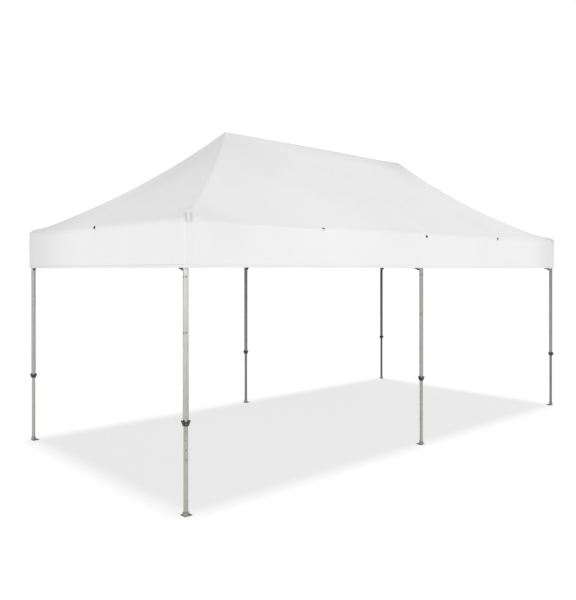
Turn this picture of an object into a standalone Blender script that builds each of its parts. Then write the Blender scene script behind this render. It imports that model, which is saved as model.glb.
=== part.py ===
"""White folding marquee, nominal three metres by six, on six telescopic legs.

Metres, +Z up, X along the long side, Y across, floor at z = 0 and the origin
under the middle of the tent. Front is -Y and left is -X.
"""

import math

import bmesh
import bpy
from mathutils import Vector

# Plan: a leg stands at each corner and in the middle of each long side
BAY = 2.92
HALF_LENGTH = BAY
HALF_WIDTH = BAY / 2
OVERHANG = 0.037
COVER_HALF_LENGTH = HALF_LENGTH + OVERHANG
COVER_HALF_WIDTH = HALF_WIDTH + OVERHANG
MAST_X = COVER_HALF_LENGTH - COVER_HALF_WIDTH
LEGS = {
    "front_left": (-1, -1),
    "front_middle": (0, -1),
    "front_right": (1, -1),
    "back_left": (-1, 1),
    "back_middle": (0, 1),
    "back_right": (1, 1),
}

# Heights
PEAK_Z = 3.285
EAVE_Z = 2.205
CORNER_LIFT = 0.030
HEM_Z = 1.845
HIGH_PIVOT_Z = 2.140
LOW_PIVOT_Z = 1.885
COLLAR_Z = 0.668
COLLAR_TALL = 0.048

# Fit between pieces that touch and between pieces that slide, overlap where shapes
# join, and how near two points of a mesh count as one
SEAT = 0.0003
RUNNING = 0.001
BITE = 0.001
PAST = 0.010
SAME_POINT = 1e-6

# Cover
CLOTH = 0.005
EDGE_RADIUS = 0.030
ROOF_SAG = 0.100
LIFT_REACH = 0.16
HEM_INSET = 0.002
ROOF_ROWS = (OVERHANG, 0.12, 0.27, 0.45, 0.66, 0.90, 1.15, 1.34, COVER_HALF_WIDTH)
EDGE_STEPS = 3
LONG_STATIONS = (0, 0.40, 0.90, MAST_X, 2.00, 2.40, 2.68, 2.80, 2.88, COVER_HALF_LENGTH)
END_STATIONS = (0, 0.45, 0.90, 1.20, 1.34, 1.42, COVER_HALF_WIDTH)

# Legs: six-sided tubes, sizes across flats
TUBE_SIDES = 6
OUTER_AF = 0.040
OUTER_WALL = 0.0018
OUTER_BOTTOM = COLLAR_Z + 0.014
OUTER_TOP = 2.120
INNER_AF = 0.032
INNER_WALL = 0.0016
INNER_BOTTOM = 0.0043
INNER_TOP = 1.445
PIN_HOLE = 0.004
PIN_REACH = 0.008
OUTER_HOLES = ((1.775, 0), (1.775, 1), (1.36, 0), (1.36, 1), (1.005, 1), (0.93, 0), (0.86, 1))
INNER_HOLES = ((0.63, 1), (0.56, 1), (0.49, 1), (0.42, 1))
COLLAR_BOTTOM_AF = 0.046
COLLAR_TOP_AF = 0.064
COLLAR_LIP = 0.010

# Feet
PLATE = 0.066
PLATE_THICK = 0.004
PLATE_INWARD = 0.012
PLATE_HOLE = 0.0055
PEG_FROM_EDGE = 0.010
SOCKET_AF = 0.040
SOCKET_TOP = 0.030

# Trusses: flat bars riveted in crossed pairs
BAR_WIDE = 0.025
BAR_THICK = 0.012
BAR_PAST_PIVOT = 0.013
BAR_CHAMFER = BAR_WIDE / 4
BAR_OFFSET = BAR_THICK / 2 + SEAT
RIVET = 0.005
RIVET_PROUD = 0.002
ROD_SIDES = 8
PIVOT_OUT = 0.055
JUNCTION_OUT = 0.045
BLOCK_HALF_WIDE = 0.016
BLOCK_HALF_TALL = 0.014
BLOCK_NEAR = 0.007
BLOCK_FAR = 0.024

# Brackets at the leg heads, on the sliders and on the masts
EAR_THICK = 0.005
EAR_HALF_TALL = 0.016
EAR_PAST_PIVOT = 0.013
EAR_CHAMFER = 0.0072
HEAD_AF = 0.048
HEAD_SHOULDER = 2.180
HEAD_EAR_ROOT = 0.015
PLUG_BOTTOM = 2.085
KNOB_BASE_AF = 0.026
KNOB_NECK_AF = 0.024
KNOB_TIP_AF = 0.0004
KNOB_BASE_UP = 0.010
KNOB_CONE_TALL = 0.013
SLIDER_AF = 0.050
SLIDER_BOTTOM = 1.852
SLIDER_TOP = 1.925
SLIDER_CHAMFER = 0.006
SLIDER_ROOT = 0.016
LEVER_HALF_WIDE = 0.012
FRONT_LEVER_REACH = 0.085
BACK_LEVER_REACH = 0.045
LEVER_ROOT_DOWN = 0.036
LEVER_ROOT_UP = 0.012
LEVER_TIP_DOWN = 0.014
LEVER_TIP_UP = 0.002

# Masts
MAST_SIDE = 0.032
MAST_BOTTOM = 1.860
MAST_TOP = 3.195
HUB_SIDE = 0.054
HUB_HALF_TALL = 0.020
HUB_EAR_ROOT = 0.020
MAST_CAP_SKIRT = 0.030
MAST_CAP_PROFILE = ((0.072, 0.046), (0.0576, 0.038), (0.030, 0.020), (0.0004, 0.0))
MAST_CAP_SIDES = 12

FABRIC = ("white_fabric", (0.86, 0.865, 0.87), 0.75, 0.0)
SILVER = ("satin_aluminium", (0.60, 0.61, 0.62), 0.35, 1.0)
DARK = ("dark_grey_plastic", (0.050, 0.052, 0.056), 0.50, 0.0)
STEEL = ("dull_steel", (0.19, 0.19, 0.19), 0.55, 0.8)


def clear_scene():
    for obj in list(bpy.data.objects):
        bpy.data.objects.remove(obj, do_unlink=True)


def material_of(look):
    title, colour, roughness, metallic = look
    if title in bpy.data.materials:
        return bpy.data.materials[title]
    material = bpy.data.materials.new(title)
    material.use_nodes = True
    shader = material.node_tree.nodes["Principled BSDF"]
    shader.inputs["Base Color"].default_value = (*colour, 1)
    shader.inputs["Roughness"].default_value = roughness
    shader.inputs["Metallic"].default_value = metallic
    return material


def mesh_from(points, faces):
    """A mesh with its doubled points made one and its faces turned outwards."""
    form = bmesh.new()
    corners = [form.verts.new(point) for point in points]
    for face in faces:
        form.faces.new([corners[index] for index in face])
    bmesh.ops.remove_doubles(form, verts=form.verts, dist=SAME_POINT)
    bmesh.ops.recalc_face_normals(form, faces=form.faces)
    mesh = bpy.data.meshes.new("form")
    form.to_mesh(mesh)
    form.free()
    return mesh


def ring_mesh(rings):
    """Closed body through rings of equal length, its first and last ring capped."""
    count = len(rings[0])
    points = [point for ring in rings for point in ring]
    faces = [list(range(count)), list(range(len(points) - count, len(points)))]
    for level in range(len(rings) - 1):
        base = level * count
        for i in range(count):
            j = (i + 1) % count
            faces.append((base + i, base + j, base + count + j, base + count + i))
    return mesh_from(points, faces)


def polygon(across_flats, z, sides=TUBE_SIDES):
    """Corners of a level regular polygon with two flats facing -X and +X."""
    radius = across_flats / 2 / math.cos(math.pi / sides)
    angles = [math.pi * (2 * i + 1) / sides for i in range(sides)]
    return [(radius * math.cos(turn), radius * math.sin(turn), z) for turn in angles]


def turned(profile, sides=TUBE_SIDES):
    """Body through level polygons, from (across flats, height) pairs."""
    return ring_mesh([polygon(across, z, sides) for across, z in profile])


def sleeve(outline):
    """Hollow six-sided body from a closed outline of (across flats, height) pairs."""
    rings = [polygon(across, z) for across, z in outline]
    points = [point for ring in rings for point in ring]
    faces = []
    for level in range(len(rings)):
        above = (level + 1) % len(rings)
        low, high = level * TUBE_SIDES, above * TUBE_SIDES
        for i in range(TUBE_SIDES):
            j = (i + 1) % TUBE_SIDES
            faces.append((low + i, low + j, high + j, high + i))
    return mesh_from(points, faces)


def tube(across_flats, wall, bottom, top):
    bore = across_flats - 2 * wall
    return sleeve([(across_flats, bottom), (across_flats, top), (bore, top), (bore, bottom)])


def swept(outline, start, along, up, across, half_thick):
    """Plate from an outline of (along, up) pairs, thickened to both sides of start."""
    rings = [
        [start + along * a + up * u + across * side * half_thick for a, u in outline]
        for side in (-1, 1)
    ]
    return ring_mesh(rings)


def rod(centre, axis, radius, length):
    """Many-sided rod about a point."""
    axis = Vector(axis).normalized()
    first = axis.orthogonal().normalized()
    second = axis.cross(first)
    ring = [first * x + second * y for x, y, _ in polygon(2 * radius, 0, ROD_SIDES)]
    ends = [Vector(centre) + axis * length * side / 2 for side in (-1, 1)]
    return ring_mesh([[end + point for point in ring] for end in ends])


def combined(pieces, cuts=()):
    """The pieces joined into one body, then the cuts taken from it."""
    helpers = [bpy.data.objects.new("helper", mesh) for mesh in (*pieces, *cuts)]
    for helper in helpers:
        bpy.context.scene.collection.objects.link(helper)
    for index, helper in enumerate(helpers[1:], start=1):
        step = helpers[0].modifiers.new("step", "BOOLEAN")
        step.solver = "EXACT"
        step.operation = "UNION" if index < len(pieces) else "DIFFERENCE"
        step.object = helper
    bpy.context.view_layer.update()
    whole = helpers[0].evaluated_get(bpy.context.evaluated_depsgraph_get())
    mesh = bpy.data.meshes.new_from_object(whole)
    for helper in helpers:
        bpy.data.objects.remove(helper, do_unlink=True)
    return mesh


def place(name, mesh, look, at=(0, 0, 0)):
    mesh.name = name
    mesh.materials.clear()
    mesh.materials.append(material_of(look))
    obj = bpy.data.objects.new(name, mesh)
    obj.location = at
    bpy.context.scene.collection.objects.link(obj)
    return obj


def eave_height(from_corner):
    """Height at which the roof slope would meet the cover's side."""
    near = max(0.0, 1 - from_corner / LIFT_REACH)
    return EAVE_Z + CORNER_LIFT * near * near


def roof_height(inset, from_corner):
    """Height of the roof's top at a distance in from the cover's side."""
    eave = eave_height(from_corner)
    share = inset / COVER_HALF_WIDTH
    return eave + (PEAK_Z - eave) * share - 4 * ROOF_SAG * share * (1 - share)


def mirrored(values):
    return [-value for value in reversed(values[1:])] + list(values)


def long_stations():
    """Stations along the front: side point, the point of the ridge above it, corner distance."""
    share = MAST_X / COVER_HALF_LENGTH
    return [
        (Vector((x, -COVER_HALF_WIDTH)), Vector((x * share, 0)), COVER_HALF_LENGTH - abs(x))
        for x in mirrored(LONG_STATIONS)
    ]


def end_stations():
    """Stations along the right end, whose slope rises to a single point."""
    peak = Vector((MAST_X, 0))
    return [
        (Vector((COVER_HALF_LENGTH, y)), peak, COVER_HALF_WIDTH - abs(y))
        for y in mirrored(END_STATIONS)
    ]


def around_cover():
    """Stations all round, each corner once."""
    half = long_stations()[:-1] + end_stations()[:-1]
    return half + [(-side, -foot, reach) for side, foot, reach in half]


def cover_point(station, inset, drop):
    """Point of the cover at a station, so far in from its side and so far below the roof."""
    side, foot, from_corner = station
    plan = side + (foot - side) * (inset / COVER_HALF_WIDTH)
    return (plan.x, plan.y, roof_height(inset, from_corner) - drop)


def skin_between(outer, inner, around):
    """Closed skin from two like grids of rows. Going around, each row closes on itself."""
    count = len(outer[0])
    rows = len(outer)
    size = rows * count
    points = [point for grid in (outer, inner) for row in grid for point in row]
    columns = [(i, (i + 1) % count) for i in range(count if around else count - 1)]
    faces = []
    for start in (0, size):
        for row in range(rows - 1):
            low = start + row * count
            high = low + count
            faces += [(low + i, low + j, high + j, high + i) for i, j in columns]
    for row in (0, rows - 1):
        edge = row * count
        faces += [(edge + i, edge + j, size + edge + j, size + edge + i) for i, j in columns]
    if not around:
        for i in (0, count - 1):
            for low in range(i, size - count, count):
                high = low + count
                faces.append((low, high, size + high, size + low))
    return mesh_of_skin(points, faces)


def mesh_of_skin(points, faces):
    """Mesh whose rows may run together at a ridge: doubled points are one, empty faces go."""
    places = {}
    index_of = [
        places.setdefault(tuple(round(value, 6) for value in point), len(places))
        for point in points
    ]
    kept = []
    for face in faces:
        loop = list(dict.fromkeys(index_of[index] for index in face))
        if len(loop) > 2:
            kept.append(loop)
    return mesh_from(list(places), kept)


def roof_panel(stations):
    """One slope of the roof, rounded at its eave and hanging a little below flat."""
    outer, inner = [], []
    for step in range(EDGE_STEPS + 1):
        turn = math.radians(90) * step / EDGE_STEPS
        for grid, radius in ((outer, EDGE_RADIUS), (inner, EDGE_RADIUS - CLOTH)):
            inset = EDGE_RADIUS - radius * math.cos(turn)
            drop = EDGE_RADIUS - radius * math.sin(turn)
            grid.append([cover_point(station, inset, drop) for station in stations])
    for inset in ROOF_ROWS:
        outer.append([cover_point(station, inset, 0) for station in stations])
        inner.append([cover_point(station, inset, CLOTH) for station in stations])
    return skin_between(outer, inner, around=False)


def valance():
    """Hanging border round the cover, from the roof's rounded edge down to the hem."""
    stations = around_cover()
    outer, inner = [], []
    for skin, inset in ((outer, 0.0), (inner, CLOTH)):
        top, middle, hem = [], [], []
        for station in stations:
            x, y, z = cover_point(station, inset, EDGE_RADIUS + SEAT)
            top.append((x, y, z))
            middle.append((x, y, (z + HEM_Z) / 2))
            x, y, z = cover_point(station, inset + HEM_INSET, 0)
            hem.append((x, y, HEM_Z))
        skin.extend((top, middle, hem))
    return skin_between(outer, inner, around=True)


def ear_pair(centre, out, lateral, z, reach, root):
    """Two ears and their rivet heads that hold a bar's end, pointing out from a centre."""
    out = Vector((*out, 0))
    across = Vector((-out.y, out.x, 0))
    up = Vector((0, 0, 1))
    middle = Vector((*centre, z)) + across * lateral
    pieces = []
    gap = BAR_THICK / 2 + SEAT + EAR_THICK / 2
    end = reach + EAR_PAST_PIVOT
    outline = [
        (root, -EAR_HALF_TALL),
        (end - EAR_CHAMFER, -EAR_HALF_TALL),
        (end, -EAR_HALF_TALL + EAR_CHAMFER),
        (end, EAR_HALF_TALL - EAR_CHAMFER),
        (end - EAR_CHAMFER, EAR_HALF_TALL),
        (root, EAR_HALF_TALL),
    ]
    for side in (-1, 1):
        plate = middle + across * side * gap
        pieces.append(swept(outline, plate, out, up, across, EAR_THICK / 2))
        head = plate + out * reach + across * side * (EAR_THICK + RIVET_PROUD) / 4
        pieces.append(rod(head, across, RIVET, (EAR_THICK + RIVET_PROUD) / 2))
    return pieces


def directions_from(sign_x, sign_y):
    """Plan directions in which trusses leave a leg."""
    if sign_x == 0:
        return [(-1, 0), (1, 0)]
    return [(-sign_x, 0), (0, -sign_y)]


def head_bracket(sign_x, sign_y):
    """Plug and cap on a leg's top, with ears for the trusses and a knob under the cover."""
    reach = 0.0 if sign_x else HALF_LENGTH
    top = roof_height(OVERHANG, reach) - CLOTH - SEAT
    bore = OUTER_AF - 2 * OUTER_WALL - 2 * SEAT
    body = turned(
        [
            (bore, PLUG_BOTTOM),
            (bore, OUTER_TOP + SEAT),
            (HEAD_AF, OUTER_TOP + SEAT),
            (HEAD_AF, HEAD_SHOULDER),
            (KNOB_BASE_AF, HEAD_SHOULDER + KNOB_BASE_UP),
            (KNOB_NECK_AF, top - KNOB_CONE_TALL),
            (KNOB_TIP_AF, top),
        ]
    )
    pieces = [body]
    for out in directions_from(sign_x, sign_y):
        pieces += ear_pair((0, 0), out, BAR_OFFSET, HIGH_PIVOT_Z, PIVOT_OUT, HEAD_EAR_ROOT)
    return combined(pieces)


def slider_bracket(sign_x, sign_y):
    """Ring that slides on a leg, with ears for the trusses and a release lever, shorter at the back."""
    body = turned(
        [
            (SLIDER_AF - SLIDER_CHAMFER, SLIDER_BOTTOM),
            (SLIDER_AF, SLIDER_BOTTOM + SLIDER_CHAMFER),
            (SLIDER_AF, SLIDER_TOP - SLIDER_CHAMFER),
            (SLIDER_AF - SLIDER_CHAMFER, SLIDER_TOP),
        ]
    )
    pieces = [body]
    for out in directions_from(sign_x, sign_y):
        pieces += ear_pair((0, 0), out, -BAR_OFFSET, LOW_PIVOT_Z, PIVOT_OUT, SLIDER_ROOT)
    reach = FRONT_LEVER_REACH if sign_y < 0 else BACK_LEVER_REACH
    lever = [
        (SLIDER_ROOT, SLIDER_BOTTOM - LEVER_ROOT_DOWN),
        (reach, SLIDER_BOTTOM - LEVER_TIP_DOWN),
        (reach, SLIDER_BOTTOM + LEVER_TIP_UP),
        (SLIDER_ROOT, SLIDER_BOTTOM + LEVER_ROOT_UP),
    ]
    inward = Vector((0, -sign_y, 0))
    sideways = Vector((1, 0, 0))
    upright = Vector((0, 0, 1))
    pieces.append(swept(lever, Vector(), inward, upright, sideways, LEVER_HALF_WIDE))
    bore = OUTER_AF + 2 * SEAT
    way = [(bore, SLIDER_BOTTOM - LEVER_ROOT_DOWN - PAST), (bore, SLIDER_TOP + PAST)]
    return combined(pieces, [turned(way)])


def with_pin_holes(mesh, holes, across_flats, sign_x, sign_y):
    """Small round holes through one wall, on the two faces that look outwards."""
    turn_x = sign_x or -1
    cuts = []
    for z, face in holes:
        angle = math.radians(60 * face)
        out = Vector((turn_x * math.cos(angle), sign_y * math.sin(angle), 0))
        centre = out * (across_flats / 2)
        centre.z = z
        cuts.append(rod(centre, out, PIN_HOLE, PIN_REACH))
    return combined([mesh], cuts)


def collar():
    """Cup under the outer leg, wide at its top, that guides the inner leg."""
    outer_bore = OUTER_AF + 2 * SEAT
    inner_bore = INNER_AF + 2 * RUNNING
    top = COLLAR_Z + COLLAR_TALL
    return sleeve(
        [
            (COLLAR_BOTTOM_AF, COLLAR_Z),
            (COLLAR_TOP_AF, top - COLLAR_LIP),
            (COLLAR_TOP_AF, top),
            (outer_bore, top),
            (outer_bore, OUTER_BOTTOM - SEAT),
            (inner_bore, OUTER_BOTTOM - SEAT),
            (inner_bore, COLLAR_Z),
        ]
    )


def foot(sign_x, sign_y):
    """Square plate, set inwards of its leg, with a socket for the tube and a peg hole."""
    shift_x = -sign_x * PLATE_INWARD
    shift_y = -sign_y * PLATE_INWARD
    half = PLATE / 2
    corners = [(-half, -half), (half, -half), (half, half), (-half, half)]
    plate = ring_mesh(
        [[(shift_x + x, shift_y + y, z) for x, y in corners] for z in (0, PLATE_THICK)]
    )
    socket_bore = INNER_AF + 2 * SEAT
    socket = sleeve(
        [
            (SOCKET_AF, PLATE_THICK - BITE),
            (SOCKET_AF, SOCKET_TOP),
            (socket_bore, SOCKET_TOP),
            (socket_bore, PLATE_THICK - BITE),
        ]
    )
    peg = (
        shift_x + (half - PEG_FROM_EDGE) * (-sign_x or 1),
        shift_y - (half - PEG_FROM_EDGE) * sign_y,
        PLATE_THICK / 2,
    )
    return combined([plate, socket], [rod(peg, (0, 0, 1), PLATE_HOLE, PLATE_THICK * 3)])


def bar(start, end, across, lateral):
    """Flat bar between two pivots, its ends cut to blunt points."""
    run = end - start
    along = run.normalized()
    up = across.cross(along)
    half = BAR_WIDE / 2
    flank = half - BAR_CHAMFER
    tail = -BAR_PAST_PIVOT
    tip = run.length + BAR_PAST_PIVOT
    outline = [
        (tail, -flank),
        (tail + BAR_CHAMFER, -half),
        (tip - BAR_CHAMFER, -half),
        (tip, -flank),
        (tip, flank),
        (tip - BAR_CHAMFER, half),
        (tail + BAR_CHAMFER, half),
        (tail, flank),
    ]
    return swept(outline, start + across * lateral, along, up, across, BAR_THICK / 2)


def junction_block(pivot, along, inward):
    """Block on a truss's inner face, which carries the ears for a truss that joins it."""
    wide, tall = BLOCK_HALF_WIDE, BLOCK_HALF_TALL
    outline = [(-wide, -tall), (wide, -tall), (wide, tall), (-wide, tall)]
    middle = pivot + inward * (BLOCK_NEAR + BLOCK_FAR) / 2
    half_thick = (BLOCK_FAR - BLOCK_NEAR) / 2
    return swept(outline, middle, along, Vector((0, 0, 1)), inward, half_thick)


def truss(start, end, crossings, junction=None):
    """Crossed bars between two plan points, riveted where they cross and where they meet."""
    start = Vector((*start, 0))
    run = Vector((*end, 0)) - start
    along = run.normalized()
    across = Vector((-along.y, along.x, 0))
    low = Vector((0, 0, LOW_PIVOT_Z))
    high = Vector((0, 0, HIGH_PIVOT_Z))
    stops = [start + run * step / crossings for step in range(crossings + 1)]
    rivet_length = 2 * (BAR_THICK + SEAT + RIVET_PROUD)
    pieces = []
    for here, there in zip(stops, stops[1:]):
        pieces.append(bar(here + high, there + low, across, BAR_OFFSET))
        pieces.append(bar(here + low, there + high, across, -BAR_OFFSET))
        pieces.append(rod((here + there + high + low) / 2, across, RIVET, rivet_length))
    for stop in stops[1:-1]:
        for level in (low, high):
            pieces.append(rod(stop + level, across, RIVET, rivet_length))
            if junction is None:
                continue
            pieces.append(junction_block(stop + level, along, Vector((*junction, 0))))
            side = BAR_OFFSET if level is high else -BAR_OFFSET
            centre = (stop.x, stop.y)
            root = (BLOCK_NEAR + BLOCK_FAR) / 2 - BITE
            pieces += ear_pair(centre, junction, side, level.z, JUNCTION_OUT, root)
    return combined(pieces)


def mast(sign):
    """Square post under a peak, with two hubs whose ears hold the inner trusses."""
    half = MAST_SIDE / 2
    post = ring_mesh([square(half, z) for z in (MAST_BOTTOM, MAST_TOP)])
    pieces = [post]
    hub_half = HUB_SIDE / 2
    for level, lateral in ((LOW_PIVOT_Z, -BAR_OFFSET), (HIGH_PIVOT_Z, BAR_OFFSET)):
        span = (level - HUB_HALF_TALL, level + HUB_HALF_TALL)
        pieces.append(ring_mesh([square(hub_half, z) for z in span]))
        for out in ((-sign, 0), (0, -1), (0, 1)):
            pieces += ear_pair((0, 0), out, lateral, level, PIVOT_OUT, HUB_EAR_ROOT)
    return combined(pieces)


def square(half, z):
    return [(-half, -half, z), (half, -half, z), (half, half, z), (-half, half, z)]


def mast_cap():
    """Rounded cone on a mast's top, under the cover's peak."""
    top = PEAK_Z - CLOTH - SEAT
    slot = MAST_SIDE / 2 + SEAT
    bottom = MAST_TOP - MAST_CAP_SKIRT
    profile = [(MAST_CAP_PROFILE[0][0], bottom)]
    profile += [(across, top - down) for across, down in MAST_CAP_PROFILE]
    body = turned(profile, MAST_CAP_SIDES)
    well = ring_mesh([square(slot, z) for z in (bottom - PAST, MAST_TOP + SEAT)])
    return combined([body], [well])


def build_legs():
    for title, (sign_x, sign_y) in LEGS.items():
        at = (sign_x * HALF_LENGTH, sign_y * HALF_WIDTH, 0)
        outer = tube(OUTER_AF, OUTER_WALL, OUTER_BOTTOM, OUTER_TOP)
        outer = with_pin_holes(outer, OUTER_HOLES, OUTER_AF, sign_x, sign_y)
        place(f"outer_leg_{title}", outer, SILVER, at)
        inner = tube(INNER_AF, INNER_WALL, INNER_BOTTOM, INNER_TOP)
        inner = with_pin_holes(inner, INNER_HOLES, INNER_AF, sign_x, sign_y)
        place(f"inner_leg_{title}", inner, SILVER, at)
        place(f"leg_collar_{title}", collar(), DARK, at)
        place(f"foot_plate_{title}", foot(sign_x, sign_y), STEEL, at)
        place(f"head_bracket_{title}", head_bracket(sign_x, sign_y), DARK, at)
        place(f"slider_bracket_{title}", slider_bracket(sign_x, sign_y), DARK, at)


def build_trusses():
    for sign_y, row in ((-1, "front"), (1, "back")):
        for sign_x, half in ((-1, "left"), (1, "right")):
            y = sign_y * HALF_WIDTH
            near = (sign_x * PIVOT_OUT, y)
            far = (sign_x * (HALF_LENGTH - PIVOT_OUT), y)
            mesh = truss(near, far, 2, junction=(0, -sign_y))
            place(f"{row}_truss_{half}", mesh, SILVER)
            outer_end = (sign_x * MAST_X, sign_y * (HALF_WIDTH - JUNCTION_OUT))
            mast_end = (sign_x * MAST_X, sign_y * PIVOT_OUT)
            place(f"cross_truss_{half}_{row}", truss(outer_end, mast_end, 1), SILVER)
    for sign_x, half in ((-1, "left"), (1, "right")):
        x = sign_x * HALF_LENGTH
        reach = HALF_WIDTH - PIVOT_OUT
        place(f"end_truss_{half}", truss((x, -reach), (x, reach), 2), SILVER)
    reach = MAST_X - PIVOT_OUT
    place("ridge_truss", truss((-reach, 0), (reach, 0), 2), SILVER)


def build_masts():
    for sign, half in ((-1, "left"), (1, "right")):
        at = (sign * MAST_X, 0, 0)
        place(f"mast_{half}", mast(sign), SILVER, at)
        place(f"mast_cap_{half}", mast_cap(), DARK, at)


def build_cover():
    """Four roof panels, a seam's width apart, and the border that hangs below them."""
    seam = SEAT / 2
    panels = (
        ("front", long_stations(), (0, -seam, 0), 0),
        ("back", long_stations(), (0, seam, 0), math.pi),
        ("right", end_stations(), (seam, 0, 0), 0),
        ("left", end_stations(), (-seam, 0, 0), math.pi),
    )
    for side, stations, at, turn in panels:
        panel = place(f"roof_panel_{side}", roof_panel(stations), FABRIC, at)
        panel.rotation_euler.z = turn
    place("canopy_valance", valance(), FABRIC)


clear_scene()
build_legs()
build_trusses()
build_masts()
build_cover()
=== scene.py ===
"""White folding marquee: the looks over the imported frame.

Metres, +Z up, X along the long side, front is -Y and left is -X. The cover is one
sheet of cloth, and the rest of the frame keeps its solids' places and sizes.
"""

from math import copysign, cos, hypot, pi, radians, sin, sqrt

import bmesh
import bpy
import numpy as np
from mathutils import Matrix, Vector


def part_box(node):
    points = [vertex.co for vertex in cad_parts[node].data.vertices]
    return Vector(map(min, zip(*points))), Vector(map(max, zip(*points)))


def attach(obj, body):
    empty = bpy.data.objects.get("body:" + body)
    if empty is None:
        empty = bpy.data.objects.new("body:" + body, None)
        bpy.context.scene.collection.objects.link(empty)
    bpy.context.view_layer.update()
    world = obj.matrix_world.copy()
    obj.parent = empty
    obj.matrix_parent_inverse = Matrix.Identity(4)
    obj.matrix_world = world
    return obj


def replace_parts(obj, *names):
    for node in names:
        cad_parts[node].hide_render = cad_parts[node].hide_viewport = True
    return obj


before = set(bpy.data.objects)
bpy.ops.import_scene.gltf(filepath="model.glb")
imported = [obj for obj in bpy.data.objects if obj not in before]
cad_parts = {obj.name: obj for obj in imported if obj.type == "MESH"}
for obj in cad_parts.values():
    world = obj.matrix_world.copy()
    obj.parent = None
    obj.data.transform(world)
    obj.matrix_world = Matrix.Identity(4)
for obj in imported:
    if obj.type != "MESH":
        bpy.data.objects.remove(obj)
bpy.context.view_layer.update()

# The cover's main sizes come from its solids
BORDER_LOW, BORDER_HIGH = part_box("canopy_valance")
HALF_LENGTH, HALF_WIDTH = BORDER_HIGH.x, BORDER_HIGH.y
MAST_X = HALF_LENGTH - HALF_WIDTH
PEAK_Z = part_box("roof_panel_front")[1].z
HEM_Z = BORDER_LOW.z
EAVE_Z = 2.205

# Roof: its sag, its lifted corners, the leg heads under it, its hips and its ridge
ROOF_SAG = 0.1
SAG_SKEW = 0.5
RIGHT_SETTLE = 0.018
CORNER_LIFT = 0.01
NEAR_CORNER_LIFT = 0.03
LIFT_REACH = 0.16
HEAD_DOME = 0.015
DOME_ROUND = 0.02
DOME_REACH = 0.11
HIP_SOFT = 0.17
HIP_SOFT_FROM = 0.04
HIP_SOFT_RISE = 0.15
CRISP_HIP = 0.6
HIP_TAUT = 0.1
HIP_TAUT_WIDE = 0.6
HIP_TAUT_RISE = 0.5
RIDGE_DIP = 0.009
PEAK_DIP = 0.003
DIP_WIDE = 0.45
DIP_START = -0.4
DIP_RUN = 1.5
DIP_END = 0.4
RIGHT_LEAN = 0.04
DRAPE = 0.003
SLOPE_STRETCH = 1.22

# Eaves: their rounding, and the long ones' waves as centre, width and height
EDGE_RADIUS = 0.02
EDGE_INSET = 0.037
CORNER_RADIUS = 0.013
END_RISE = 0.015
LONG_SAG = 0.005
LONG_WAVES = ((-1.75, 0.5, -0.022), (-2.45, 0.22, -0.016), (-0.02, 0.28, -0.01), (1.95, 0.45, 0.021))
EAVE_FADE = 0.09
HEAD_LIFT = 0.75
HEAD_WIDE = 0.075

# Hanging border: the hem's rises are those of the front, right, back and left
HEM_INSET = 0.004
HEM_WAVE = 0.0045
HEM_DROP = 0.0028
HEM_RISES = (0.0025, 0.016, 0.016, -0.002)
TIED_REACH = 0.06
TIED_FADE = 0.3

# Tapes, hem and strips on the cloth, edges buried in it. Hem section: height up, distance out
PROUD = 0.0009
BURIED = 0.0005
TAPE_HALF = 0.018
TAPE_STEP = 0.02
TAPE_CLEAR = 0.12
TAPE_END = 0.012
HEM_SECTION = (
    (0.0255, -BURIED),
    (0.0245, PROUD),
    (0.0125, PROUD),
    (0.0010, PROUD),
    (-0.0008, 0.0),
    (-0.0006, -0.0016),
    (0.0020, -0.0026),
    (0.0245, -0.0024),
    (0.0255, -0.0008),
)
STRIP_START = 0.11
STRIP_END = 0.925
STRIP_ROWS = 15
STRIP_ON_LONG = 0.085
STRIP_ON_END = 0.125

# Painted shade at places on the cloth, and painted light at one place: centre, radius and strength
SHADE_AND_LIGHT_SPOTS = (
    ((-2.96, 1.50, 2.02), 1.25, 0.165),
    ((2.96, -1.50, 2.02), 0.80, 0.125),
    ((-2.60, -1.50, 2.00), 0.50, 0.018),
    ((2.96, 1.50, 2.02), 0.75, 0.090),
    ((-1.50, 0.00, 3.28), 1.05, 0.060),
    ((-2.05, 0.15, 2.85), 0.75, 0.045),
    ((1.46, 0.00, 3.28), 0.60, 0.080),
    ((-1.20, -1.25, 2.35), 0.90, -0.045),
    ((-2.55, -1.50, 2.215), 0.32, 0.030),
    ((-2.80, -1.38, 2.28), 0.30, 0.045),
)
# Painted shade on the roof above the eave, more of it towards the peaks, and in a band by the ridge
ROOF_SHADE = 0.042
HEIGHT_SHADE = 0.045
RIDGE_SHADE = 0.08
RIDGE_WIDE = 0.16

# Eyelets on the long sides and by the ends' middles: place, turn round the eave and drop
EYELETS_LONG = ((-1.484, 72.0, -0.002), (0.043, 5.0, 0.007), (1.472, 5.0, -0.004))
EYELET_END = (0.053, 12.0, 0.0)

# Pleats beside each corner: place, drift downwards, lean inwards, width, depth, start, end and painted
# shade
PLEATS = (
    (0.008, 0.010, 0.05, 0.0130, 0.0060, -0.030, 0.090, 0.280),
    (0.056, 0.002, 0.24, 0.0115, 0.0110, 0.005, 0.165, 0.230),
    (-0.060, 0.000, 0.00, 0.0090, 0.0040, 0.030, 0.110, 0.030),
)
KNOB_IN = 0.05
KNOB_ASIDE = 0.026
KNOB_WIDE = 0.024
KNOB_HIGH = 0.005
HEAD_REACH = 0.022

# Steps of the cloth's mesh
FINE_STEP = 0.004
WIDE_STEP = 0.032
STEP_GROWTH = 1.07
EDGE_STEPS = 8
CORNER_STEPS = 6
VALANCE_ROWS = 16

# Where things stand: the legs, the halves and the rows
HALVES = ((-1, "left"), (1, "right"))
ROWS = ((-1, "front"), (1, "back"))
LEGS = {f"{row}_{half}": (x, y) for y, row in ROWS for x, half in (HALVES[0], (0, "middle"), HALVES[1])}
UP = Vector((0, 0, 1))
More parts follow.
